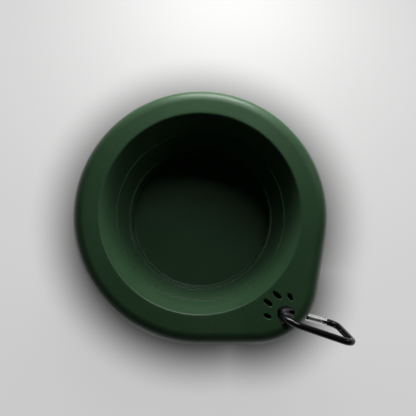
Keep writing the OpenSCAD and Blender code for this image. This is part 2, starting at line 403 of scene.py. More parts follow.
class Tree(NodeBuilder):
    """A geometry node tree with named inputs."""

    def __init__(self, name: str, inputs: dict[str, str]) -> None:
        """Starts a tree that takes and gives geometry.

        Args:
            name: The tree's name.
            inputs: The kind of value, such as Float, for each named input.
        """
        super().__init__(bpy.data.node_groups.new(name, "GeometryNodeTree"))
        self.sockets: dict[str, str] = {}
        face = self.tree.interface
        for key, kind in {"Geometry": "Geometry", **inputs}.items():
            made = face.new_socket(key, in_out="INPUT", socket_type="NodeSocket" + kind)
            self.sockets[key] = made.identifier
        face.new_socket("Geometry", in_out="OUTPUT", socket_type="NodeSocketGeometry")
        self.get = self.node("NodeGroupInput").outputs

    def close(self, geometry: Socket) -> None:
        """Ends the tree: instances made real, the finish set, and the result put out.

        Args:
            geometry: What the tree has made.
        """
        real = self.node("GeometryNodeRealizeInstances", {0: geometry})
        dressed = self.node("GeometryNodeSetMaterial", {
            "Geometry": real.outputs[0], "Material": self.get["Finish"],
        })
        self.node("NodeGroupOutput", {0: dressed.outputs[0]})

    def run(self, piece: bpy.types.Object, values: dict[str, object]) -> bpy.types.Mesh:
        """Runs the tree on an object and gives its plain mesh.

        Args:
            piece: The object whose mesh the tree takes.
            values: A value for each named input.

        Returns:
            The evaluated mesh.
        """
        step = piece.modifiers.new(self.tree.name, "NODES")
        step.node_group = self.tree
        for name, value in values.items():
            step[self.sockets[name]] = value
        mesh = evaluated(piece)
        piece.modifiers.remove(step)
        return mesh


def section_sweep() -> Tree:
    """The tree that sweeps a section line round a level path.

    Returns:
        A tree with inputs Section, an object of edges, and Finish.
    """
    tree = Tree("Section sweep", {"Section": "Object", "Finish": "Material"})
    path = tree.node("GeometryNodeMeshToCurve", {0: tree.get["Geometry"]})
    level = tree.node("GeometryNodeSetCurveNormal", {0: path.outputs[0]}, mode="Z_UP")
    picked = tree.node("GeometryNodeObjectInfo", {0: tree.get["Section"]})
    section = tree.node("GeometryNodeMeshToCurve", {0: picked.outputs["Geometry"]})
    skin = tree.node("GeometryNodeCurveToMesh", {
        "Curve": level.outputs[0], "Profile Curve": section.outputs[0],
    })
    tree.close(skin.outputs[0])
    return tree


def bar_sweep() -> Tree:
    """The tree that sweeps a round bar along a path and presses parts of it flat.

    The path's points carry two numbers: girth, the bar's thickness there as a share of the full
    one, and flat, from 0 for round to 1 for pressed down to the tongue's thickness.

    Returns:
        A tree with inputs Bar radius, Sides, Tongue, Middle, Across and Finish.
    """
    tree = Tree("Bar sweep", {
        "Bar radius": "Float", "Sides": "Int", "Tongue": "Float",
        "Middle": "Vector", "Across": "Vector", "Finish": "Material",
    })
    get = tree.get
    path = tree.node("GeometryNodeMeshToCurve", {0: get["Geometry"]})
    ring = tree.node("GeometryNodeCurvePrimitiveCircle", {
        "Resolution": get["Sides"], "Radius": get["Bar radius"],
    })
    girth = tree.node("GeometryNodeInputNamedAttribute", {"Name": "girth"}, data_type="FLOAT")
    bar = tree.node("GeometryNodeCurveToMesh", {
        "Curve": path.outputs[0], "Profile Curve": ring.outputs[0],
        "Scale": girth.outputs[0], "Fill Caps": True,
    })
    flat = tree.node("GeometryNodeInputNamedAttribute", {"Name": "flat"}, data_type="FLOAT")
    half = tree.maths("MULTIPLY", get["Tongue"], 0.5)
    mixed = tree.node("ShaderNodeMix", {
        0: flat.outputs[0], 2: get["Bar radius"], 3: half,
    }, data_type="FLOAT")
    limit = mixed.outputs[0]
    place = tree.node("GeometryNodeInputPosition")
    off = tree.node("ShaderNodeVectorMath", {
        0: place.outputs[0], 1: get["Middle"],
    }, operation="SUBTRACT")
    side = tree.node("ShaderNodeVectorMath", {
        0: off.outputs[0], 1: get["Across"],
    }, operation="DOT_PRODUCT")
    kept = tree.node("ShaderNodeClamp", {
        "Value": side.outputs["Value"], "Min": tree.maths("SUBTRACT", 0.0, limit), "Max": limit,
    })
    change = tree.maths("SUBTRACT", kept.outputs[0], side.outputs["Value"])
    shift = tree.node("ShaderNodeVectorMath", {0: get["Across"], "Scale": change}, operation="SCALE")
    pressed = tree.node("GeometryNodeSetPosition", {
        "Geometry": bar.outputs[0], "Offset": shift.outputs[0],
    })
    tree.close(pressed.outputs[0])
    return tree


def coil_tree() -> Tree:
    """The tree that winds a coil spring along Z.

    Returns:
        A tree with inputs Turns, Radius, Length, Wire and Finish.
    """
    tree = Tree("Coil spring", {
        "Turns": "Float", "Radius": "Float", "Length": "Float", "Wire": "Float", "Finish": "Material",
    })
    get = tree.get
    helix = tree.node("GeometryNodeCurveSpiral", {
        "Resolution": 28, "Rotations": get["Turns"], "Start Radius": get["Radius"],
        "End Radius": get["Radius"], "Height": get["Length"],
    })
    ring = tree.node("GeometryNodeCurvePrimitiveCircle", {"Resolution": 10, "Radius": get["Wire"]})
    wire = tree.node("GeometryNodeCurveToMesh", {
        "Curve": helix.outputs[0], "Profile Curve": ring.outputs[0], "Fill Caps": True,
    })
    tree.close(wire.outputs[0])
    return tree


# Finishes


class Slot(Enum):
    """The material slots, by name."""

    SILICONE = "silicone"
    CORE = "core_plastic"
    BLACK = "clip_black"
    BRIGHT = "gate_bright"
    STEEL = "pin_steel"


class Shader(NodeBuilder):
    """The nodes of a material, of the world or of a shared group."""

    def place(self) -> Socket:
        """The piece's own coordinates, in metres."""
        return self.node("ShaderNodeTexCoord").outputs["Object"]

    def along_clip(self) -> Socket:
        """The piece's own coordinates, turned so that X runs along the clip."""
        turn = (0, 0, math.radians(CLIP_HEADING))
        return self.node("ShaderNodeMapping", {"Vector": self.place(), "Rotation": turn}).outputs[0]

    def ramp(self, value: Socket, out: Point2, span: Point2 = (0, 1), **settings: object) -> Socket:
        """A change of range, held at both ends.

        Args:
            value: The number that is changed.
            out: The results at the two ends of span.
            span: The numbers that give those results.
            settings: Properties of the node.

        Returns:
            The result's socket.
        """
        return self.node("ShaderNodeMapRange", {
            "Value": value, "From Min": span[0], "From Max": span[1],
            "To Min": out[0], "To Max": out[1],
        }, **settings).outputs[0]

    def blend(self, share: Socket, first: object, second: object) -> Socket:
        """A mix of two colours, by how much of the second shows."""
        return self.node("ShaderNodeMix", {0: share, 6: first, 7: second}, data_type="RGBA").outputs[2]

    def bump(self, height: Socket, strength: float, depth: float) -> Socket:
        """The bent normal that a height gives, with its full depth in metres."""
        inputs = {"Height": height, "Strength": strength, "Distance": depth}
        return self.node("ShaderNodeBump", inputs).outputs[0]

    def group(self, tree: bpy.types.NodeTree, inputs: dict[str, object]) -> bpy.types.Node:
        """Adds a shared group with the given inputs, and gives its node."""
        return self.node("ShaderNodeGroup", inputs, node_tree=tree)

    def close(self, look: dict[str, object]) -> None:
        """Ends a material with one principled surface of the given inputs."""
        surface = self.node("ShaderNodeBsdfPrincipled", look)
        self.node("ShaderNodeOutputMaterial", {"Surface": surface.outputs[0]})


class SharedGroup(Shader):
    """A shader group that turns a place into numbers."""

    def __init__(self, name: str, inputs: dict[str, float]) -> None:
        """Starts a group that takes a vector and some numbers.

        Args:
            name: The group's name.
            inputs: For each number's name, its default.
        """
        super().__init__(bpy.data.node_groups.new(name, "ShaderNodeTree"))
        face = self.tree.interface
        face.new_socket("Vector", in_out="INPUT", socket_type="NodeSocketVector")
        for key, value in inputs.items():
            face.new_socket(key, in_out="INPUT", socket_type="NodeSocketFloat").default_value = value
        self.get = self.node("NodeGroupInput").outputs

    def put_out(self, results: dict[str, Socket]) -> bpy.types.NodeTree:
        """Ends the group.

        Args:
            results: For each output's name, the socket that gives it.

        Returns:
            The group's tree.
        """
        for key in results:
            self.tree.interface.new_socket(key, in_out="OUTPUT", socket_type="NodeSocketFloat")
        self.node("NodeGroupOutput", results)
        return self.tree


def grain_group() -> bpy.types.NodeTree:
    """The fine texture of a moulded surface.

    Returns:
        A group with the output Height.
    """
    made = SharedGroup("Fine grain", {"Scale": 1500, "Pits": 0.4})
    spot = {"Vector": made.get["Vector"], "Scale": made.get["Scale"]}
    fine = made.node("ShaderNodeTexNoise", {**spot, "Detail": 3.0, "Roughness": 0.6})
    cells = made.node("ShaderNodeTexVoronoi", spot)
    pits = made.maths("MULTIPLY", cells.outputs["Distance"], made.get["Pits"])
    return made.put_out({"Height": made.maths("ADD", fine.outputs[0], pits)})


def handling_group() -> bpy.types.NodeTree:
    """Smudges and settled dust.

    Returns:
        A group with the outputs Smudge and Dust, masks from 0 to 1.
    """
    made = SharedGroup("Handling marks", {"Patch scale": 40, "Dust scale": 500, "Dust share": 0.05})
    get = made.get
    wide = made.node("ShaderNodeTexNoise", {
        "Vector": get["Vector"], "Scale": get["Patch scale"],
        "Detail": 4.0, "Roughness": 0.55, "Distortion": 0.6,
    })
    specks = made.node("ShaderNodeTexVoronoi", {"Vector": get["Vector"], "Scale": get["Dust scale"]})
    near = made.ramp(specks.outputs["Distance"], (1, 0), (0.08, 0.2))
    pick = made.node("ShaderNodeSeparateColor", {0: specks.outputs["Color"]})
    chosen = made.maths("LESS_THAN", pick.outputs[0], get["Dust share"])
    return made.put_out({
        "Smudge": made.ramp(wide.outputs[0], (0, 1), (0.38, 0.68)),
        "Dust": made.maths("MULTIPLY", near, chosen),
    })


def scratch_group() -> bpy.types.NodeTree:
    """Fine scratches along X of the given vector.

    Returns:
        A group with the output Mask, from 0 to 1.
    """
    made = SharedGroup("Fine scratches", {"Scale": 2500, "Stretch": 0.04})
    split = made.node("ShaderNodeSeparateXYZ", {0: made.get["Vector"]})
    drawn = made.maths("MULTIPLY", split.outputs[0], made.get["Stretch"])
    joined = made.node("ShaderNodeCombineXYZ", {0: drawn, 1: split.outputs[1], 2: split.outputs[2]})
    marks = made.node("ShaderNodeTexNoise", {
        "Vector": joined.outputs[0], "Scale": made.get["Scale"], "Detail": 2.0, "Roughness": 0.7,
    })
    return made.put_out({"Mask": made.ramp(marks.outputs[0], (0, 1), (0.45, 0.75))})


class Groups:
    """The shared shader groups, each built once."""

    def __init__(self) -> None:
        """Builds the groups."""
        self.grain = grain_group()
        self.handling = handling_group()
        self.scratches = scratch_group()


def new_material(name: str) -> tuple[bpy.types.Material, Shader]:
    """Starts a material.

    Args:
        name: The material's name.

    Returns:
        The material and the builder of its nodes.
    """
    made = bpy.data.materials.new(name)
    made.use_nodes = True
    return made, Shader(made.node_tree)


@dataclass(frozen=True)
class SiliconeFinish:
    """Satin moulded silicone, dark green, with a fine mould texture and a little dust."""

    groups: Groups
    slot: Slot = Slot.SILICONE
    colour: Colour = (0.0245, 0.0640, 0.0275, 1)
    lighter: Colour = (0.0290, 0.0730, 0.0320, 1)
    cloud: float = 0.55
    dust: Colour = (0.24, 0.27, 0.23, 1)
    dustiness: float = 0.5
    roughness: Point2 = (0.37, 0.48)
    grain_depth: float = 0.00004

    def build(self) -> bpy.types.Material:
        """Builds the material.

        Returns:
            The material.
        """
        finish, s = new_material(self.slot.value)
        place = s.place()
        marks = s.group(self.groups.handling, {
            "Vector": place, "Patch scale": 30.0, "Dust scale": 700.0, "Dust share": 0.03,
        })
        grain = s.group(self.groups.grain, {"Vector": place, "Scale": 2600.0, "Pits": 0.5})
        smudge, dust = marks.outputs["Smudge"], marks.outputs["Dust"]
        body = s.blend(s.ramp(smudge, (0, self.cloud)), self.colour, self.lighter)
        s.close({
            "Base Color": s.blend(s.ramp(dust, (0, self.dustiness)), body, self.dust),
            "Roughness": s.ramp(smudge, self.roughness),
            "Normal": s.bump(grain.outputs[0], strength=0.35, depth=self.grain_depth),
            "Sheen Weight": 0.03, "Sheen Roughness": 0.45, "Specular IOR Level": 0.25,
        })
        return finish


@dataclass(frozen=True)
class CoatFinish:
    """Glossy black coating on a metal bar, with fine scratches and worn places."""

    groups: Groups
    slot: Slot = Slot.BLACK
    colour: Colour = (0.0065, 0.0065, 0.0075, 1)
    bare: Colour = (0.28, 0.28, 0.29, 1)
    bareness: float = 0.8
    chip_edge: Point2 = (0.56, 0.64)
    roughness: Point2 = (0.12, 0.2)
    smear: float = 0.05
    scratch_depth: float = 0.00001

    def build(self) -> bpy.types.Material:
        """Builds the material.

        Returns:
            The material.
        """
        finish, s = new_material(self.slot.value)
        place = s.place()
        scratches = s.group(self.groups.scratches, {
            "Vector": s.along_clip(), "Scale": 3500.0,
        }).outputs[0]
        marks = s.group(self.groups.handling, {"Vector": place, "Patch scale": 260.0})
        smear = s.ramp(marks.outputs["Smudge"], (0, self.smear))
        worn = s.node("ShaderNodeAttribute", attribute_name="wear")
        chip = s.node("ShaderNodeTexNoise", {"Vector": place, "Scale": 2600.0, "Detail": 3.0})
        edge = s.maths("MULTIPLY", worn.outputs["Fac"], chip.outputs[0])
        bare = s.ramp(edge, (0, self.bareness), self.chip_edge)
        s.close({
            "Base Color": s.blend(bare, self.colour, self.bare), "Metallic": bare,
            "Roughness": s.maths("ADD", s.ramp(scratches, self.roughness), smear),
            "Normal": s.bump(scratches, strength=0.06, depth=self.scratch_depth),
            "Coat Weight": 0.1, "Coat Roughness": 0.06, "Specular IOR Level": 0.3,
        })
        return finish


@dataclass(frozen=True)
class MetalFinish:
    """Bare or plated metal with drawn marks along the clip."""

    groups: Groups
    slot: Slot
    colour: Colour
    darker: Colour
    roughness: Point2
    cloud: float = 0.6
    scratch_depth: float = 0.00001

    def build(self) -> bpy.types.Material:
        """Builds the material.

        Returns:
            The material.
        """
        finish, s = new_material(self.slot.value)
        scratches = s.group(self.groups.scratches, {
            "Vector": s.along_clip(), "Scale": 5200.0, "Stretch": 0.05,
        }).outputs[0]
        marks = s.group(self.groups.handling, {"Vector": s.place(), "Patch scale": 320.0})
        cloud = s.ramp(marks.outputs["Smudge"], (0, self.cloud))
        s.close({
            "Base Color": s.blend(cloud, self.colour, self.darker), "Metallic": 1.0,
            "Roughness": s.ramp(scratches, self.roughness),
            "Normal": s.bump(scratches, strength=0.06, depth=self.scratch_depth),
        })
        return finish


@dataclass(frozen=True)
class CoreFinish:
    """Matt moulded plastic of the rim's stiff core."""

    groups: Groups
    slot: Slot = Slot.CORE
    colour: Colour = (0.006, 0.008, 0.006, 1)
    lighter: Colour = (0.010, 0.012, 0.010, 1)
    roughness: Point2 = (0.55, 0.68)
    grain_depth: float = 0.00005

    def build(self) -> bpy.types.Material:
        """Builds the material.

        Returns:
            The material.
        """
        finish, s = new_material(self.slot.value)
        place = s.place()
        grain = s.group(self.groups.grain, {"Vector": place, "Scale": 1800.0, "Pits": 0.6})
        marks = s.group(self.groups.handling, {"Vector": place, "Patch scale": 60.0})
        smudge = marks.outputs["Smudge"]
        s.close({
            "Base Color": s.blend(smudge, self.colour, self.lighter),
            "Roughness": s.ramp(smudge, self.roughness),
            "Normal": s.bump(grain.outputs[0], strength=0.5, depth=self.grain_depth),
            "Specular IOR Level": 0.25,
        })
        return finish


def build_finishes() -> dict[Slot, bpy.types.Material]:
    """Builds one material for each slot.

    Returns:
        The material of each slot.
    """
    groups = Groups()
    looks = (
        SiliconeFinish(groups), CoreFinish(groups), CoatFinish(groups),
        MetalFinish(groups, Slot.BRIGHT, (0.90, 0.90, 0.88, 1), (0.84, 0.84, 0.82, 1), (0.40, 0.46)),
        MetalFinish(groups, Slot.STEEL, (0.46, 0.46, 0.47, 1), (0.33, 0.33, 0.34, 1), (0.24, 0.42)),
    )
    return {look.slot: look.build() for look in looks}


# The bowl


@dataclass(frozen=True)
class Oval:
    """One hole of the paw, placed from the bowl's axis, in mm and degrees."""

    at: float
    size: Point2
    swing: float = 0
    tilt: float = 0
    splay: float = 0
    bend: float = 0

    def outline(self, way: float, side: int = 1, steps: int = 64) -> list[Point2]:
        """The hole's outline, an oval that bends outwards at its two ends.

        Args:
            way: The direction of the paw's middle, in degrees.
            side: The side of that middle on which the hole lies, 1 or -1.
            steps: How many points the outline has.

        Returns:
            The outline's points, in mm.
        """
        out = math.radians(way) + math.radians(side * self.swing)
        turn = out + math.radians(self.tilt - side * self.splay)
        points = []
        for i in range(steps):
            a = math.tau * i / steps
            x = self.size[0] / 2 * math.cos(a) + self.bend * math.sin(a) ** 2
            y = self.size[1] / 2 * math.sin(a)
            points.append((
                self.at * math.cos(out) + x * math.cos(turn) - y * math.sin(turn),
                self.at * math.sin(out) + x * math.sin(turn) + y * math.cos(turn),
            ))
        return points


@dataclass
class BowlMoulding:
    """The silicone moulding: floor, walls with their two folds, flat rim, round edge, skirt and paw.

    Sizes are in mm and angles in degrees. The inside's rounds are its fillets from the floor up. The
    outside's corners at a fold are given by radius, height from the fold and fillet, and the corner
    between the folds by radius, height and fillet.
    """

    finish: bpy.types.Material
    height: float = 54
    hub_r: float = 30
    floor_top: float = 3
    floor_r: float = 37.5
    base_r: float = 39.75
    base_round: float = 1.6
    base_draft: float = 0.02
    lower_fold_z: float = 20
    upper_fold_z: float = 37
    fold_half: float = 0.4
    middle_low_r: float = 38.65
    middle_top_r: float = 43.2
    middle_slant: float = 0.05
    upper_low_r: float = 44.0
    mouth_r: float = 50.4
    mouth_flat: float = 0.7
    inner_rounds: tuple[float, ...] = (1.2, 0.45, 0.4, 0.5, 0.32, 0.3, 1.0)
    lower_fold_out: tuple[Corner, ...] = ((38.64, -0.45, 0.35), (39.58, -0.2, 0.3), (39.66, 0.6, 0.5))
    upper_fold_out: tuple[Corner, ...] = ((43.93, -0.5, 0.4), (46.2, -0.3, 0.5), (46.2, 0.4, 1.5))
    middle_out: Corner = (42.72, 28.5, 9)
    wall: float = 2.2
    under_round: float = 0.45
    under_flat: float = 0.55
    rim_thickness: float = 2
    rim_r: float = 65.07
    rim_shift: float = 0.9
    rim_height: float = 12
    shoulder_r: float = 5.6
    skirt_lean: float = 13
    tab_r: float = 31.97
    tab_turn: float = 40
    tab_dir: float = -49.8
    paw_dir: float = -50.1
    pad: Oval = Oval(65.32, (7.78, 9.0), bend=1.2)
    inner_toe: Oval = Oval(55.82, (5.2, 2.3), swing=3, tilt=10, splay=6)
    outer_toe: Oval = Oval(61.12, (4.1, 2.1), swing=6.9, tilt=10, splay=24)
    hole_round: float = 0.4
    hole_flat: float = 0.25
    under_edge: float = 0.28
    pad_depth: float = 5
    flare: float = 27
    sharp: float = 24
    support: float = 0.35
    track_r: float = 10
    segments: int = 256
    step: float = 1.2
    sweeper: Tree = field(default_factory=section_sweep)

    @property
    def under(self) -> float:
        """The height of the rim's underside."""
        return self.height - self.rim_thickness

    def inner_section(self) -> list[Point2]:
        """The inside's line from the floor to the rim's flat.

        Returns:
            The line's points (radius, height), in mm.
        """
        low, high, half = self.lower_fold_z, self.upper_fold_z, self.fold_half
        corners = (
            (self.floor_r, self.floor_top),
            (self.floor_r, low + half),
            (self.middle_low_r, low + half),
            (self.middle_top_r - self.middle_slant, high - half),
            (self.middle_top_r, high + half),
            (self.upper_low_r, high + half),
            (self.mouth_r, self.height),
        )
        return rounded([
            (self.hub_r, self.floor_top, 0),
            *((r, z, fillet) for (r, z), fillet in zip(corners, self.inner_rounds)),
            (self.mouth_r + self.inner_rounds[-1] + self.mouth_flat, self.height, 0),
        ], run=self.step)

    def outer_section(self) -> list[Point2]:
        """The outside's line from the base to the rim's underside.

        Returns:
            The line's points (radius, height), in mm.
        """
        foot = self.upper_fold_z + self.fold_half
        slope = (self.mouth_r - self.upper_low_r) / (self.height - foot)
        top = self.upper_low_r + slope * (self.under - foot) + self.wall
        return rounded([
            (self.hub_r, 0, 0),
            (self.base_r, 0, self.base_round),
            (self.base_r - self.base_draft, self.floor_top, 0),
            *((r, self.lower_fold_z + z, fillet) for r, z, fillet in self.lower_fold_out),
            self.middle_out,
            *((r, self.upper_fold_z + z, fillet) for r, z, fillet in self.upper_fold_out),
            (top, self.under, self.under_round),
            (top + self.under_flat, self.under, 0),
        ], run=self.step)

    def edge_section(self) -> list[Point2]:
        """The rim's edge in section.

        Returns:
            The points (outwards from the widest point, height), in mm.
        """
        lean, half = self.skirt_lean, self.rim_thickness / 2
        sine, cosine = math.sin(math.radians(lean)), math.cos(math.radians(lean))
        middle_r = self.shoulder_r - half
        run = (self.rim_height - half - self.shoulder_r + middle_r * sine) / cosine
        inset = middle_r * cosine + run * sine + half
        shoulder = (-inset, self.height - self.shoulder_r)
        hem = (-half, self.height - self.rim_height + half)
        outer = arc(shoulder, self.shoulder_r, 90, lean, steps=14)
        end = arc(hem, half, lean, lean - 180, steps=10)
        inner = arc(shoulder, self.shoulder_r - self.rim_thickness, lean, 90, steps=10)
        return [
            (-inset - self.support, self.height), *outer,
            *line(outer[-1], end[0], steps=4), *end,
            *line(end[-1], inner[0], steps=4), *inner,
            (-inset - self.support, self.under),
        ]

    def outline(self) -> list[Point2]:
        """The rim's widest outline: a large round joined to the tab's corner by two straights.

        Returns:
            The outline's points, in mm.
        """
        reach = (self.rim_r - self.tab_r) / math.cos(math.radians(self.tab_turn))
        middle = (0.0, -self.rim_shift)
        turn = math.radians(self.tab_dir)
        tab = (reach * math.cos(turn), middle[1] + reach * math.sin(turn))
        low, high = self.tab_dir - self.tab_turn, self.tab_dir + self.tab_turn
        big = arc(middle, self.rim_r, high, low + 360, steps=280)
        small = arc(tab, self.tab_r, low, high, steps=50)
        return [*big, *line(big[-1], small[0], steps=14), *small, *line(small[-1], big[0], steps=14)]

    def toe_section(self) -> list[Point2]:
        """The wall of a toe in section, with both its edges rounded.

        Returns:
            The points (away from the hole, height), in mm.
        """
        out = self.hole_round + self.hole_flat
        return rounded([
            (out, self.height, 0), (0, self.height, self.hole_round),
            (0, self.under, self.under_edge), (out, self.under, 0),
        ], steps=5, run=0.6)

    def pad_cutter(self) -> bpy.types.Object:
        """Builds the solid that opens the pad, which runs into the rim's round edge.

        Returns:
            A prism that flares where it leaves the rim's top.
        """
        top, r = self.height, self.hole_round
        bend = arc((r, top - r), r, 180, 120, steps=4)
        way = unit(self.flare)
        last = (bend[-1][0] + 2 * r * way.x, bend[-1][1] + 2 * r * way.y)
        shape = bmesh.new()
        shape.from_mesh(self.swept(
            self.pad.outline(self.paw_dir), [(0, top - self.pad_depth), *bend, last]))
        bmesh.ops.holes_fill(shape, edges=[e for e in shape.edges if e.is_boundary])
        bmesh.ops.recalc_face_normals(shape, faces=shape.faces)
        cutter = new_object("cutter", made_mesh("cutter", shape))
        cutter.data.materials.append(self.finish)
        return cutter

    def swept(self, path: list[Point2], section: list[Point2]) -> bpy.types.Mesh:
        """Sweeps a section round a level path.

        Args:
            path: The closed path's points, in mm.
            section: The section's points (outwards, height), in mm.

        Returns:
            The swept skin.
        """
        track = polyline("path", [Vector((x * MM, y * MM, 0)) for x, y in path], True)
        shape = polyline("section", [Vector((u * MM, -z * MM, 0)) for u, z in section], False)
        mesh = self.sweeper.run(track, {"Section": shape, "Finish": self.finish})
        drop(track, shape)
        return mesh

    def fill_flats(self, shape: bmesh.types.BMesh) -> None:
        """Fills the flat rim and the floor, above and below, between the swept skins.

        Args:
            shape: The shape that holds the skins.
        """
        for level, up in ((self.height, 1), (self.under, -1), (self.floor_top, 1), (0, -1)):
            edges = [
                e for e in shape.edges
                if e.is_boundary and all(abs(v.co.z - level * MM) < MERGE for v in e.verts)
            ]
            bmesh.ops.triangle_fill(shape, use_beauty=True, edges=edges, normal=(0, 0, up))

    def build(self) -> bpy.types.Object:
        """Builds the whole moulding as one closed skin.

        Returns:
            The finished piece.
        """
        circle = arc((0, 0), self.track_r, 0, 360, self.segments)[:-1]
        toes = [
            toe.outline(self.paw_dir, side)
            for side in (-1, 1) for toe in (self.inner_toe, self.outer_toe)
        ]
        shape = bmesh.new()
        for path, section in (
            (circle, [(r - self.track_r, z) for r, z in self.inner_section()]),
            (circle, [(r - self.track_r, z) for r, z in self.outer_section()]),
            (self.outline(), self.edge_section()),
            *((toe, self.toe_section()) for toe in toes),
        ):
            shape.from_mesh(self.swept(path, section))
        self.fill_flats(shape)
        bmesh.ops.recalc_face_normals(shape, faces=shape.faces)
        piece = new_object("silicone_bowl", made_mesh("silicone_bowl", shape))
        piece.data.materials.append(self.finish)
        cut(piece, [self.pad_cutter()])
        open_edges = merged(piece)
        LOG.info("silicone_bowl: %d open edges", open_edges)
        shade(piece, self.sharp)
        return piece

    def dress(self, piece: bpy.types.Object) -> None:
        """Bakes the moulding's place into its mesh and hides the CAD nodes that it stands for.

        Args:
            piece: The moulding.
        """
        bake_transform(piece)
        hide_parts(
            "floor_disc", "lower_wall", "lower_fold", "middle_wall",
            "upper_fold", "upper_wall", "rim_cover",
        )


# The clip


@dataclass
class SnapClip:
    """The wire clip: its bent frame, its sprung gate, and the pins that join them.

    Sizes are in mm and angles in degrees. An end's shape is given by points (inwards from the end,
    inwards from the full radius), and the dome's by points (inwards, share of the head's radius).
    """

    finishes: dict[Slot, bpy.types.Material]
    middle: Vector = field(default_factory=lambda: Vector((50.183451, -53.439947, 48)))
    heading: float = -CLIP_HEADING
    lean: float = 14
    bar_r: float = 1.745
    bar_sides: int = 40
    basket_r: float = 10.75
    back: float = 22.2
    tip_r: float = 4.2
    knee_r: float = 4.6
    rivet_past: float = 2.4
    gate_r: float = 1.95
    gate_length: float = 12.4
    spread: float = 14
    nose_gap: float = 0.4
    nose_length: float = 1.2
    nose_slot: float = 2.6
    nose_steps: int = 18
    nose_press: Point2 = (0.3, 1.3)
    nose_girths: Point2 = (0.86, 0.55)
    root_press: Point2 = (-2.8, -0.9)
    tongue: float = 1.2
    tongue_r: float = 1.575
    tongue_steps: int = 8
    tongue_end: float = 0.08
    thinning: float = 0.1
    play: float = 0.3
    fit_gap: float = 0.025
    free_gap: float = 0.05
    overrun: float = 1
    worn: Point2 = (1.2, 3.2)
    hinge_end: tuple[Point2, ...] = ((0, 0.45), (0.12, 0.2), (0.4, 0))
    sleeve_rings: tuple[float, ...] = (0, 4, 8, 12)
    nose_end: tuple[Point2, ...] = ((0.35, 0), (0.1, 0.12), (0, 0.35))
    edge_break: float = 0.09
    rivet_r: float = 0.7
    head: float = 0.25
    dome: tuple[Point2, ...] = ((0, 0), (0.02, 0.45), (0.09, 0.8), (0.2, 1), (0.26, 0.99))
    latch_r: float = 0.5
    latch_in: float = 1.3
    latch_end: tuple[Point2, ...] = ((0.02, 0.12), (0.1, 0))
    spring_r: float = 1.1
    wire: float = 0.35
    turns: float = 9.0
    spring_length: float = 5
    plunger_head: float = 0.8
    sharp: float = 40
    pin_sharp: float = 50

    @property
    def latch_at(self) -> float:
        """How far the latch pin is from the rivet, along the gate."""
        return self.gate_length - self.latch_in

    @property
    def nose_start(self) -> float:
        """How far the nose's foot is from the rivet, along the gate."""
        return self.gate_length + self.nose_gap + self.nose_length

    def place(self) -> Matrix:
        """Where the clip's own plane lies in the bowl's frame, in mm."""
        return (
            Matrix.Translation(self.middle)
            @ Matrix.Rotation(math.radians(self.heading), 4, "Z")
            @ Matrix.Rotation(math.radians(self.lean - 90), 4, "X")
        )

    def gate_place(self) -> Matrix:
        """Where the gate's own line lies, from its rivet, in mm."""
        return (
            self.place()
            @ Matrix.Translation((self.rivet_past, self.basket_r, 0))
            @ Matrix.Rotation(math.radians(self.spread), 4, "Z")
        )

    def metres(self, place: Matrix) -> Matrix:
        """Changes a place from mm to metres.

        Args:
            place: The place, in mm.

        Returns:
            The same place, in metres.
        """
        made = place.copy()
        made.translation = place.translation * MM
        return made

    def gate_line(self, reach: float) -> Vector:
        """A point of the gate's line in the clip's plane, by its distance from the rivet."""
        return Vector((self.rivet_past, self.basket_r)) + unit(self.spread) * reach

    def across_gate(self, reach: float, radius: float) -> bpy.types.Object:
        """A helper rod that crosses the gate at a distance from its rivet, in the bowl's frame."""
        place, deep = self.gate_place(), self.gate_r
        return rod(place @ Vector((reach, 0, -deep)), place @ Vector((reach, 0, deep)), radius)

    def loop_points(self) -> list[Point2]:
        """The bar's middle line from the basket's far side round the tip to the nose's foot.

        Returns:
            The points in the clip's plane, in mm.
        """
        knee = self.gate_line(self.nose_start) - unit(self.spread + 90) * self.knee_r
        tip = Vector((self.back, self.tip_r - self.basket_r))
        span = knee - tip
        lean = math.acos((self.tip_r - self.knee_r) / span.length)
        slope = math.degrees(math.atan2(span.y, span.x) - lean)
        side = unit(slope)
        return [
            *arc((0, 0), self.basket_r, 180, 270, steps=30)[1:],
            *line((0, -self.basket_r), (self.back, -self.basket_r), steps=16),
            *arc(tuple(tip), self.tip_r, -90, slope, steps=22),
            *line(tuple(tip + side * self.tip_r), tuple(knee + side * self.knee_r), steps=12),
            *arc(tuple(knee), self.knee_r, slope, 90 + self.spread, steps=16),
        ]

    def frame_path(self) -> tuple[list[Vector], list[float], list[float]]:
        """The middle line of the frame's bar with its girth and flatness.

        Returns:
            The points in the bowl's frame in mm, and for each its girth and its flatness.
        """
        turns = [math.pi / 2 * i / self.tongue_steps for i in range(self.tongue_steps)]
        root = [
            *((self.rivet_past + self.tongue_r * math.cos(a), self.basket_r) for a in turns),
            *line((self.rivet_past, self.basket_r), (0, self.basket_r), steps=12),
            *arc((0, 0), self.basket_r, 90, 180, steps=30),
        ]
        loop = self.loop_points()
        nose_stop = self.gate_length - self.nose_slot + 2 * self.play
        reaches = [
            self.nose_start + (nose_stop - self.nose_start) * i / self.nose_steps
            for i in range(1, self.nose_steps + 1)
        ]
        press = [self.gate_length + past for past in self.nose_press]
        flats = [
            *(smooth(x, *self.root_press) for x, _ in root), *(0.0 for _ in loop),
            *(1 - smooth(reach, *press) for reach in reaches),
        ]
        girths = [1 - self.thinning * flat for flat in flats]
        for i, a in enumerate(turns):
            girths[i] *= math.sin(max(self.tongue_end, a))
        for i, share in zip((-2, -1), self.nose_girths):
            girths[i] *= share
        place = self.place()
        points = [*root, *loop, *(self.gate_line(reach) for reach in reaches)]
        return [place @ Vector((x, y, 0)) for x, y in points], girths, flats

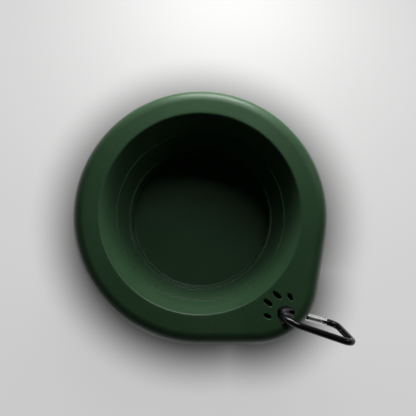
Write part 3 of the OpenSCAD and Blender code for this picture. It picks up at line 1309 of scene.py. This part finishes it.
    def build_frame(self) -> bpy.types.Object:
        """Builds the bent frame with its two pressed tongues.

        Returns:
            The finished piece.
        """
        points, girths, flats = self.frame_path()
        track = polyline("path", [p * MM for p in points], False, {"girth": girths, "flat": flats})
        mesh = bar_sweep().run(track, {
            "Bar radius": self.bar_r * MM, "Sides": self.bar_sides, "Tongue": self.tongue * MM,
            "Middle": self.middle * MM, "Across": self.place().to_3x3() @ Vector((0, 0, 1)),
            "Finish": self.finishes[Slot.BLACK],
        })
        drop(track)
        piece = new_object("clip_bar", mesh)
        deep, slot_r, latch = self.gate_r, self.latch_r + self.play, self.latch_at
        notch = block(Vector((latch - slot_r, -deep, -deep)), Vector((latch + slot_r, 0, deep)))
        notch.data.transform(self.metres(self.gate_place()))
        cut(piece, [
            self.across_gate(0, self.rivet_r + self.free_gap), self.across_gate(latch, slot_r), notch,
        ])
        shade(piece, self.sharp)
        self.mark_wear(piece, *(self.gate_place() @ Vector((x, 0, 0)) for x in (0, self.gate_length)))
        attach(piece, "clip")
        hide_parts("clip_frame")
        return piece

    def mark_wear(self, piece: bpy.types.Object, *spots: Vector) -> None:
        """Writes how worn the coat is at each point: more where the gate rubs it.

        Args:
            piece: The frame.
            spots: The places that rub, in mm.
        """
        mesh = piece.data
        wear = mesh.attributes.new("wear", "FLOAT", "POINT")
        for vertex, slot in zip(mesh.vertices, wear.data):
            near = min((vertex.co / MM - spot).length for spot in spots)
            slot.value = 1 - smooth(near, *self.worn)

    def build_gate(self) -> bpy.types.Object:
        """Builds the gate's sleeve with its slots and bores.

        Returns:
            The finished piece.
        """
        r, end, past = self.gate_r, self.gate_length, self.overrun
        piece = new_object("gate_sleeve", turned("gate_sleeve", [
            (-r, 0), *((x - r, r - y) for x, y in self.hinge_end), *((x, r) for x in self.sleeve_rings),
            *((end - x, r - y) for x, y in self.nose_end), (end, 0),
        ], segments=64))
        width = self.tongue / 2 + self.play
        slot_end = self.tongue_r + self.play
        bore = Vector((slot_end - past / 2, 0, 0))
        bore_end = Vector((slot_end + self.plunger_head + self.spring_length + self.play, 0, 0))
        high = Vector((0, 0, 2 * r))
        latch = Vector((self.latch_at, 0, 0))
        cut(piece, [
            block(Vector((-r - past, -2 * r, -width)), Vector((slot_end, 2 * r, width))),
            block(Vector((end - self.nose_slot, -2 * r, -width)), Vector((end + past, 2 * r, width))),
            rod(-high, high, self.rivet_r + self.fit_gap),
            rod(latch - high, latch + high, self.latch_r + self.fit_gap),
            rod(bore, bore_end, self.spring_r + self.free_gap),
        ])
        softened(piece, self.edge_break)
        merged(piece)
        shade(piece, self.sharp)
        return self.fit(piece, Slot.BRIGHT, "clip_gate")

    def fit(self, piece: bpy.types.Object, slot: Slot, *nodes: str) -> bpy.types.Object:
        """Puts a piece drawn along the gate in its place, dresses it and ties it to the gate.

        Args:
            piece: The piece, drawn with the gate's rivet at the origin.
            slot: Its material slot.
            nodes: The CAD nodes that it stands for.

        Returns:
            The piece.
        """
        piece.data.transform(self.metres(self.gate_place()))
        piece.data.materials.clear()
        piece.data.materials.append(self.finishes[slot])
        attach(piece, "gate")
        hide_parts(*nodes)
        return piece

    def pin(self, name: str, side: list[Point2], at: float, segments: int) -> bpy.types.Object:
        """Turns a pin that crosses the gate and is the same at both ends.

        Args:
            name: The pin's name.
            side: Half its section, from the middle of one end.
            at: Its distance from the gate's rivet, in mm.
            segments: How many steps go round.

        Returns:
            The pin, drawn with the gate's rivet at the origin.
        """
        mesh = turned(name, [(-x, y) for x, y in side] + side[::-1], segments)
        mesh.transform(lying(at, -90))
        piece = new_object(name, mesh)
        shade(piece, self.pin_sharp)
        return piece

    def build_pins(self) -> list[bpy.types.Object]:
        """Builds the gate's rivet, with domed heads, and its latch pin.

        Returns:
            The two pins.
        """
        half, r = self.gate_r + self.head, self.rivet_r + self.head
        side = [(half - x, r * share) for x, share in self.dome]
        rivet = self.pin("hinge_rivet", [*side, (side[-1][0], self.rivet_r)], at=0, segments=40)
        half, r = math.sqrt(self.gate_r ** 2 - self.latch_r ** 2), self.latch_r
        side = [(half, 0), *((half - x, r - y) for x, y in self.latch_end)]
        latch = self.pin("latch_pin_rod", side, at=self.latch_at, segments=32)
        return [self.fit(rivet, Slot.STEEL, "gate_rivet"), self.fit(latch, Slot.STEEL, "latch_pin")]

    def build_spring(self) -> bpy.types.Object:
        """Winds the coil spring that pushes the gate shut.

        Returns:
            The finished piece.
        """
        seed = polyline("seed", [Vector((0, 0, 0)), Vector((MM, 0, 0))], False)
        mesh = coil_tree().run(seed, {
            "Turns": self.turns, "Radius": (self.spring_r - self.wire / 2) * MM,
            "Length": (self.spring_length - self.wire) * MM, "Wire": self.wire / 2 * MM,
            "Finish": self.finishes[Slot.STEEL],
        })
        drop(seed)
        start = self.tongue_r + self.free_gap + self.plunger_head + self.wire / 2
        mesh.transform(lying(start, 90))
        piece = new_object("gate_coil", mesh)
        shade(piece)
        return self.fit(piece, Slot.STEEL, "gate_spring")

    def build(self) -> list[bpy.types.Object]:
        """Builds the whole clip."""
        return [self.build_frame(), self.build_gate(), *self.build_pins(), self.build_spring()]


# The studio


def seen_rays(shader: Shader) -> Socket:
    """Is 1 for rays from the camera and for those that a gloss or glass sends on.

    Args:
        shader: The builder of the material or world that asks.

    Returns:
        The number's socket.
    """
    path = shader.node("ShaderNodeLightPath")
    seen = path.outputs["Is Camera Ray"]
    for kind in ("Is Glossy Ray", "Is Transmission Ray"):
        seen = shader.maths("MAXIMUM", seen, path.outputs[kind])
    return seen


@dataclass(frozen=True)
class Lamp:
    """A soft rectangular lamp, with its place and size in metres and its power in watts."""

    name: str
    at: Corner
    size: Point2
    watts: float

    def hang(self, aim: Corner) -> None:
        """Hangs the lamp so that it faces a point, unseen by the camera.

        Args:
            aim: The point, in metres.
        """
        data = bpy.data.lights.new(self.name, "AREA")
        data.shape, data.size, data.size_y, data.energy = "RECTANGLE", *self.size, self.watts
        lamp = bpy.data.objects.new(self.name, data)
        bpy.context.scene.collection.objects.link(lamp)
        lamp.visible_camera = False
        lamp.location = self.at
        lamp.rotation_euler = (Vector(aim) - Vector(self.at)).to_track_quat("-Z", "Y").to_euler()


@dataclass
class Studio:
    """The pale floor, the soft lamps, and the camera at the photograph's viewing angle.

    The eye, the focal length and the sensor are in mm, and all other sizes in metres. The foot holds
    two circles (x, y, radius), round the bowl and the tab, round which the floor has painted shadow,
    and each fade holds the two distances or heights between which a look changes.
    """

    eye: Corner = (1.3, -33.3, 454)
    tilt: float = 5.11
    sway: float = -0.37
    focal: float = 69.59
    sensor: float = 36
    clip_start: float = 0.01
    floor_half: float = 4
    floor_colour: Colour = (0.16, 0.16, 0.157, 1)
    # Painted shadow: the floor's dark colour beneath the object's foot, and the distances over which it
    # fades to the floor's own colour.
    painted_shadow_colour: Colour = (0.03, 0.03, 0.03, 1)
    painted_shadow_fade: Point2 = (-0.012, 0.01)
    floor_glow: float = 0.56
    # Painted shadow: the distances over which the floor's pale glow fades out round the object's foot.
    glow_painted_shadow_fade: Point2 = (-0.004, 0.034)
    foot: tuple[Corner, Corner] = ((0, -0.0009, 0.065), (0.0279, -0.0339, 0.032))
    aim: Corner = (0, 0, 0.04)
    lamps: tuple[Lamp, ...] = (
        Lamp("high", (0.06, 0.27, 0.37), (0.16, 0.12), 0.44),
        Lamp("far", (0.06, 0.36, 0.30), (0.16, 0.12), 0.33),
        Lamp("low", (0.02, 0.165, 0.084), (0.10, 0.04), 0.36),
        Lamp("kicker", (0.345, 0.156, 0.265), (0.12, 0.22), 0.15),
    )
    sky_colour: Colour = (0.93, 0.95, 1, 1)
    sky_level: float = 0.012
    sky_seen: float = 0.4
    sky_fade: Point2 = (0.12, 0.36)

    def build_camera(self) -> None:
        """Places the camera and makes it the scene's."""
        data = bpy.data.cameras.new("camera")
        data.lens, data.sensor_width, data.clip_start = self.focal, self.sensor, self.clip_start
        camera = bpy.data.objects.new("camera", data)
        bpy.context.scene.collection.objects.link(camera)
        camera.matrix_world = (
            Matrix.Translation(Vector(self.eye) * MM)
            @ Matrix.Rotation(math.radians(self.tilt), 4, "X")
            @ Matrix.Rotation(math.radians(self.sway), 4, "Y")
        )
        bpy.context.scene.camera = camera

    def floor_finish(self) -> bpy.types.Material:
        """Builds the floor's paint, with painted shadow: dark beneath the object, its pale glow fading
        out round the object's foot, and pale away from it.

        Returns:
            The material.
        """
        paint, s = new_material("pale_floor")
        place = s.place()
        gaps = []
        for x, y, r in self.foot:
            reach = s.node("ShaderNodeVectorMath", {0: place, 1: (x, y, 0)}, operation="DISTANCE")
            gaps.append(s.maths("SUBTRACT", reach.outputs["Value"], r))
        near = s.maths("MINIMUM", *gaps)
        # Painted shadow: the floor's pale glow fades out round the object's foot, like a contact
        # shadow.
        glow = s.ramp(near, (0, self.floor_glow), self.glow_painted_shadow_fade, interpolation_type="SMOOTHSTEP")
        # Painted shadow: the floor's colour goes dark beneath the object's foot.
        outside_painted_shadow = s.ramp(near, (0, 1), self.painted_shadow_fade)
        s.close({
            "Base Color": s.blend(outside_painted_shadow, self.painted_shadow_colour, self.floor_colour),
            "Roughness": 0.9, "Specular IOR Level": 0.2, "Emission Color": (1, 1, 1, 1),
            "Emission Strength": s.maths("MULTIPLY", glow, seen_rays(s)),
        })
        return paint

    def build_floor(self) -> None:
        """Lays the pale floor, with painted shadow beneath the object."""
        shape = bmesh.new()
        bmesh.ops.create_grid(shape, x_segments=1, y_segments=1, size=self.floor_half)
        floor = new_object("floor", made_mesh("floor", shape))
        floor.data.materials.append(self.floor_finish())

    def build_sky(self) -> None:
        """Sets a dim sky that looks pale near the horizon to the camera and in glosses."""
        world = bpy.data.worlds.new("studio")
        world.use_nodes = True
        s = Shader(world.node_tree)
        way = s.node("ShaderNodeSeparateXYZ", {0: s.node("ShaderNodeTexCoord").outputs["Generated"]})
        horizon = s.ramp(way.outputs["Z"], (1, 0), self.sky_fade)
        pale = s.maths("MULTIPLY", horizon, seen_rays(s))
        level = s.ramp(pale, (self.sky_level, self.sky_seen))
        sky = s.node("ShaderNodeBackground", {"Color": self.sky_colour, "Strength": level})
        s.node("ShaderNodeOutputWorld", {"Surface": sky.outputs[0]})
        bpy.context.scene.world = world
        bpy.context.scene.view_settings.view_transform = "Standard"

    def build(self) -> None:
        """Builds the camera, the floor, the lamps and the sky."""
        self.build_camera()
        self.build_floor()
        for lamp in self.lamps:
            lamp.hang(self.aim)
        self.build_sky()


def dress_node(name: str, finish: bpy.types.Material) -> None:
    """Gives a CAD node that stays its finish.

    Args:
        name: The node's name.
        finish: Its material.
    """
    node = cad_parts[name]
    for place in node.material_slots:
        place.link = "OBJECT"
        place.material = finish


def main() -> None:
    """Builds every piece in order and reports each."""
    logging.basicConfig(level=logging.INFO, format="%(name)s: %(message)s")
    Studio().build()
    finishes = build_finishes()
    bowl = BowlMoulding(finishes[Slot.SILICONE])
    piece = bowl.build()
    bowl.dress(piece)
    for made in (piece, *SnapClip(finishes).build()):
        LOG.info("%s: %d faces", made.name, len(made.data.polygons))
    dress_node("rim_core", finishes[Slot.CORE])
    dress_node("gate_plunger", finishes[Slot.STEEL])


if __name__ == "__main__":
    main()
